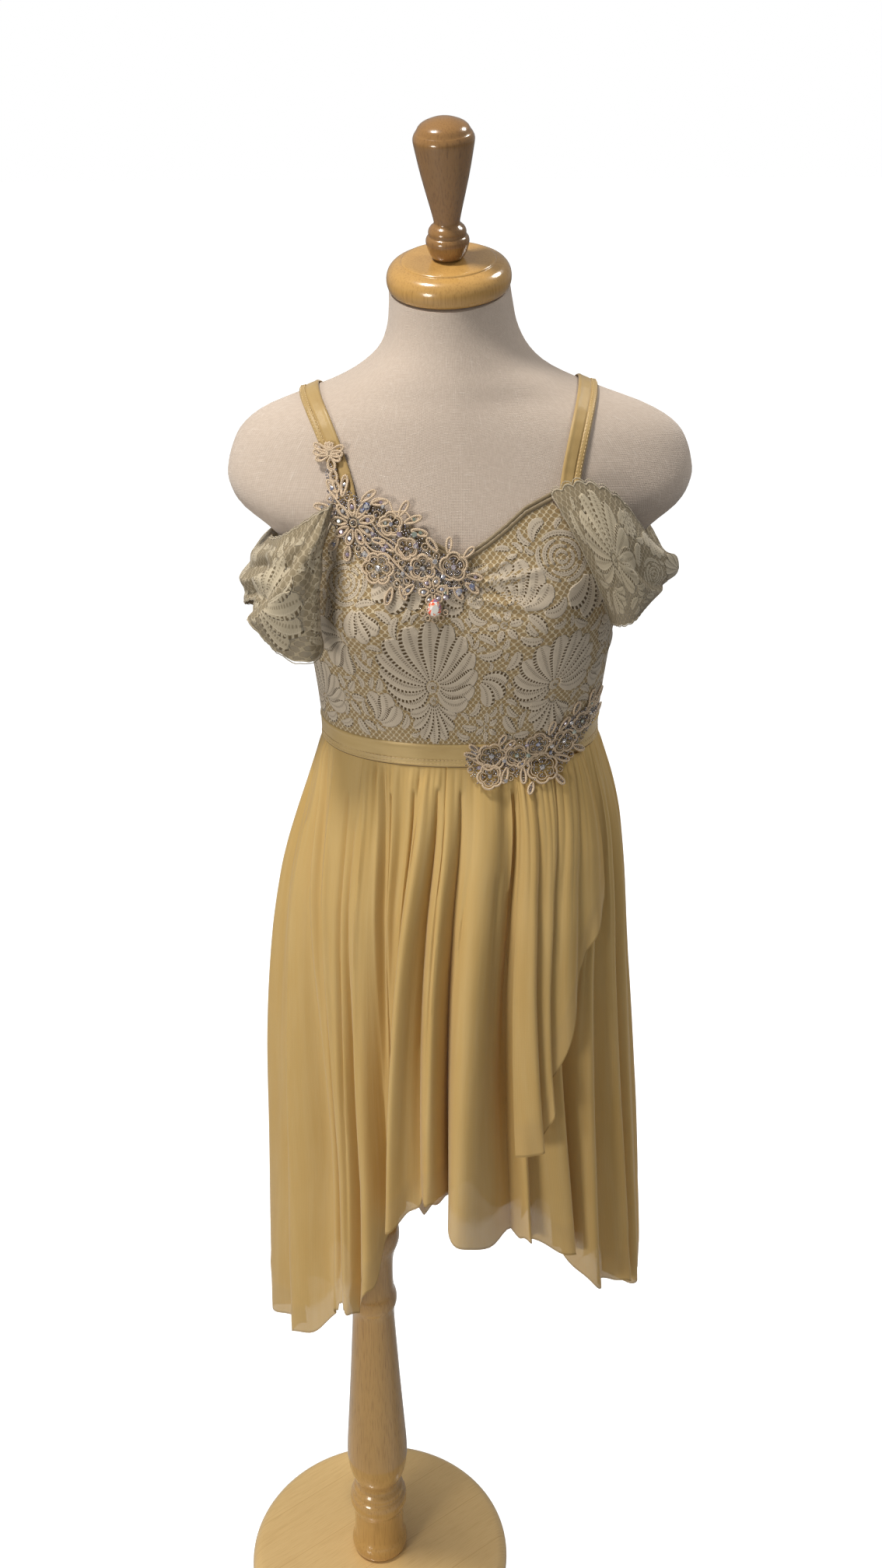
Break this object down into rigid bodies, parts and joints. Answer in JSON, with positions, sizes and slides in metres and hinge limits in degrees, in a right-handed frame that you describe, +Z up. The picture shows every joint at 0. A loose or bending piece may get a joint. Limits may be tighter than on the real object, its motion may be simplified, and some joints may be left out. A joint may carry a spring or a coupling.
{
  "type": "lyrical dance dress on a dress form",
  "caption": "Lace-bodice lyrical dress with off-shoulder lace drapes, banded waist and gathered high-low mesh skirt, standing on a linen dress form with a turned wooden post and round foot.",
  "frame": {"origin": "centre of the round foot's underside", "axes": "+Z up along the post, the dress faces -Y, +X to the viewer's right"},
  "size_m": [0.412, 0.3443, 1.4727],
  "materials": {
    "varnished_wood": "clear gloss varnish over turned honey-coloured wood",
    "linen": "matt off-white linen, tightly fitted",
    "stretch_lace": "greyish ivory floral stretch lace over gold stretch lining",
    "satin_spandex": "gold spandex with a soft satin sheen and rolled edges",
    "stretch_mesh": "sheer gold stretch mesh in gathered layers",
    "corded_lace": "pinkish ivory corded lace sewn with rhinestones and beads",
    "crystal": "faceted crystal with a coloured flash"
  },
  "bodies": {
    "root": {"base": "varnished_wood", "post": "varnished_wood", "torso": "linen", "neck_cap": "varnished_wood", "finial": "varnished_wood", "bodice_front": "stretch_lace", "bodice_back": "stretch_lace", "neckline_binding": "satin_spandex", "strap_left": "satin_spandex", "strap_right": "satin_spandex", "sleeve_left": "stretch_lace", "sleeve_right": "stretch_lace", "waistband": "satin_spandex", "skirt_front": "stretch_mesh", "skirt_back": "stretch_mesh", "skirt_overlay": "stretch_mesh", "applique_neckline": "corded_lace", "applique_waist": "corded_lace", "pendant_crystal": "crystal"}
  },
  "joints": []
}
